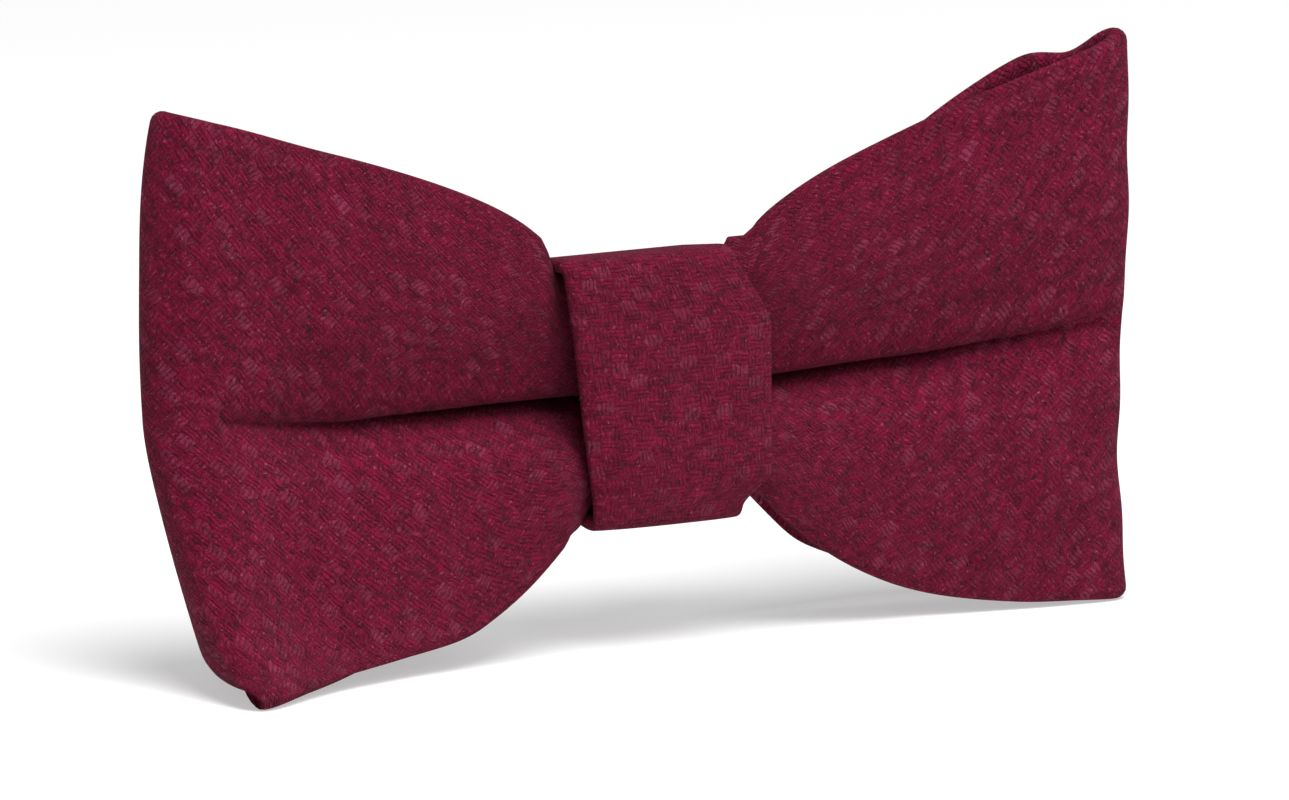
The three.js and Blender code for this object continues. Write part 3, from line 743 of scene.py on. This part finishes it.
def metal_look():
    n = Nodes("nickel_steel")
    at = n.place()
    smudge = n.noise(at, scale=220.0, detail=4.0, roughness=0.6)
    scratch_map = n.tree.nodes.new("ShaderNodeMapping")
    scratch_map.inputs["Scale"].default_value = (150.0, 1500.0, 4200.0)
    n.link(at, scratch_map.inputs["Vector"])
    brushed = n.noise(scratch_map.outputs[0], scale=1.0, detail=3.0, roughness=0.6)
    n.link(n.mix(smudge, (0.30, 0.30, 0.31), (0.46, 0.46, 0.45)), n.shader.inputs["Base Color"])
    gloss = n.remap(smudge, 0.3, 0.75, to_low=0.22, to_high=0.42)
    n.link(gloss, n.shader.inputs["Roughness"])
    n.bump(brushed, strength=0.35, distance=0.00006)
    n.shader.inputs["Metallic"].default_value = 1.0
    return n.material


# ---------- placing ----------
def wear(thing, look):
    thing.data.materials.clear()
    thing.data.materials.append(look)


def bevelled_copy(node, body, look, width):
    """A copy of a stiff piece with softened edges, shown in its place."""
    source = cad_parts[node]
    thing = bpy.data.objects.new(node + "_finished", source.data.copy())
    thing.matrix_world = source.matrix_world.copy()
    bpy.context.scene.collection.objects.link(thing)
    work = bmesh.new()
    work.from_mesh(thing.data)
    bmesh.ops.remove_doubles(work, verts=work.verts, dist=WELD_DISTANCE)
    bmesh.ops.dissolve_limit(work, angle_limit=math.radians(FLAT_ANGLE), verts=work.verts, edges=work.edges)
    work.to_mesh(thing.data)
    work.free()
    bevel = thing.modifiers.new("soft_edges", "BEVEL")
    bevel.width = width * MM
    bevel.segments = BEVEL_SEGMENTS
    bevel.limit_method = "ANGLE"
    bevel.angle_limit = math.radians(BEVEL_ANGLE)
    thing.data.polygons.foreach_set("use_smooth", [True] * len(thing.data.polygons))
    normals = thing.modifiers.new("flat_faces", "WEIGHTED_NORMAL")
    normals.keep_sharp = False
    wear(thing, look)
    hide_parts(node)
    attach(thing, body)


def build():
    bias = hopsack("wool_on_the_bias", 45)
    straight = hopsack("wool_straight", 0)
    canvas = canvas_look()
    thread = thread_look()
    metal = metal_look()
    for side in ("left", "right"):
        loop = wing_layer(side, "wing_" + side, 0, CLOTH, ROWS_ALONG, COLUMNS_ACROSS, 0)
        stiffener = wing_layer(
            side, "wing_canvas_" + side, CANVAS_FROM, CANVAS_TO, CANVAS_ROWS, CANVAS_COLUMNS, CANVAS_INSET
        )
        for thing, look, slot, node in (
            (loop, bias, "wool_cloth", "bow_loop_" + side),
            (stiffener, canvas, "canvas", "interlining_" + side),
        ):
            wear(thing, look)
            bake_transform(thing)
            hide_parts(node)
    band = knot_layer("knot_band", 0, BAND, BAND_ROWS, BAND_COLUMNS, 0)
    wear(band, straight)
    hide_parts("knot_wrap")
    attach(band, "knot")
    lining = knot_layer("knot_canvas", LINING_FROM, LINING_TO, LINING_ROWS, LINING_COLUMNS, LINING_INSET)
    wear(lining, canvas)
    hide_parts("knot_interlining")
    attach(lining, "knot")
    wear(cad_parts["bow_waist"], straight_plain())
    for node in ("waist_binding_thread", "knot_seam_thread", "clip_tack_upper", "clip_tack_lower"):
        wear(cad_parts[node], thread)
    for node in ("jaw_spring_left", "jaw_spring_right"):
        wear(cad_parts[node], metal)
    bevelled_copy("clip_plate", "knot", metal, PLATE_BEVEL)
    bevelled_copy("jaw_pin_left", "knot", metal, PLATE_BEVEL)
    bevelled_copy("jaw_pin_right", "knot", metal, PLATE_BEVEL)
    bevelled_copy("clip_jaw_left", "left_jaw", metal, JAW_BEVEL)
    bevelled_copy("clip_jaw_right", "right_jaw", metal, JAW_BEVEL)


# ---------- camera and studio ----------
def camera():
    azimuth = math.radians(CAMERA_AZIMUTH)
    elevation = math.radians(CAMERA_ELEVATION)
    back = Vector(
        (math.sin(azimuth) * math.cos(elevation), -math.cos(azimuth) * math.cos(elevation), math.sin(elevation))
    )
    data = bpy.data.cameras.new("photo_camera")
    data.sensor_width = SENSOR
    data.lens = SENSOR * CAMERA_DISTANCE / FRAME_WIDTH
    data.clip_start = 0.01
    thing = bpy.data.objects.new("photo_camera", data)
    thing.location = AIM + back * CAMERA_DISTANCE
    thing.rotation_euler = back.to_track_quat("Z", "Y").to_euler()
    bpy.context.scene.collection.objects.link(thing)
    bpy.context.scene.camera = thing


def area_light(name, place, size, power):
    data = bpy.data.lights.new(name, "AREA")
    data.shape = "DISK"
    data.size = size
    data.energy = power
    thing = bpy.data.objects.new(name, data)
    thing.location = place
    direction = Vector(place) - Vector((0, 0, 0.03))
    thing.rotation_euler = direction.to_track_quat("Z", "Y").to_euler()
    bpy.context.scene.collection.objects.link(thing)


def studio():
    mesh = bpy.data.meshes.new("studio_floor")
    reach = FLOOR_REACH
    corners = [(-reach, -reach, 0), (reach, -reach, 0), (reach, reach, 0), (-reach, reach, 0)]
    mesh.from_pydata(corners, [], [(0, 1, 2, 3)])
    floor = bpy.data.objects.new("studio_floor", mesh)
    bpy.context.scene.collection.objects.link(floor)
    n = Nodes("white_floor")
    n.shader.inputs["Base Color"].default_value = (*(FLOOR_WHITE,) * 3, 1)
    n.shader.inputs["Roughness"].default_value = 0.9
    n.shader.inputs["Specular IOR Level"].default_value = 0.1
    n.shader.inputs["Emission Color"].default_value = (1, 1, 1, 1)
    n.shader.inputs["Emission Strength"].default_value = FLOOR_GLOW
    wear(floor, n.material)
    world = bpy.data.worlds.new("white_room")
    world.use_nodes = True
    world.node_tree.nodes["Background"].inputs[0].default_value = (1, 1, 1, 1)
    world.node_tree.nodes["Background"].inputs[1].default_value = ROOM_LIGHT
    bpy.context.scene.world = world
    area_light("top_softbox", TOP_LIGHT_PLACE, TOP_LIGHT_SIZE, TOP_POWER_W)
    area_light("front_softbox", FRONT_LIGHT_PLACE, FRONT_LIGHT_SIZE, FRONT_POWER_W)
    bpy.context.scene.view_settings.view_transform = "Standard"


build()
studio()
camera()

bpy.context.view_layer.update()
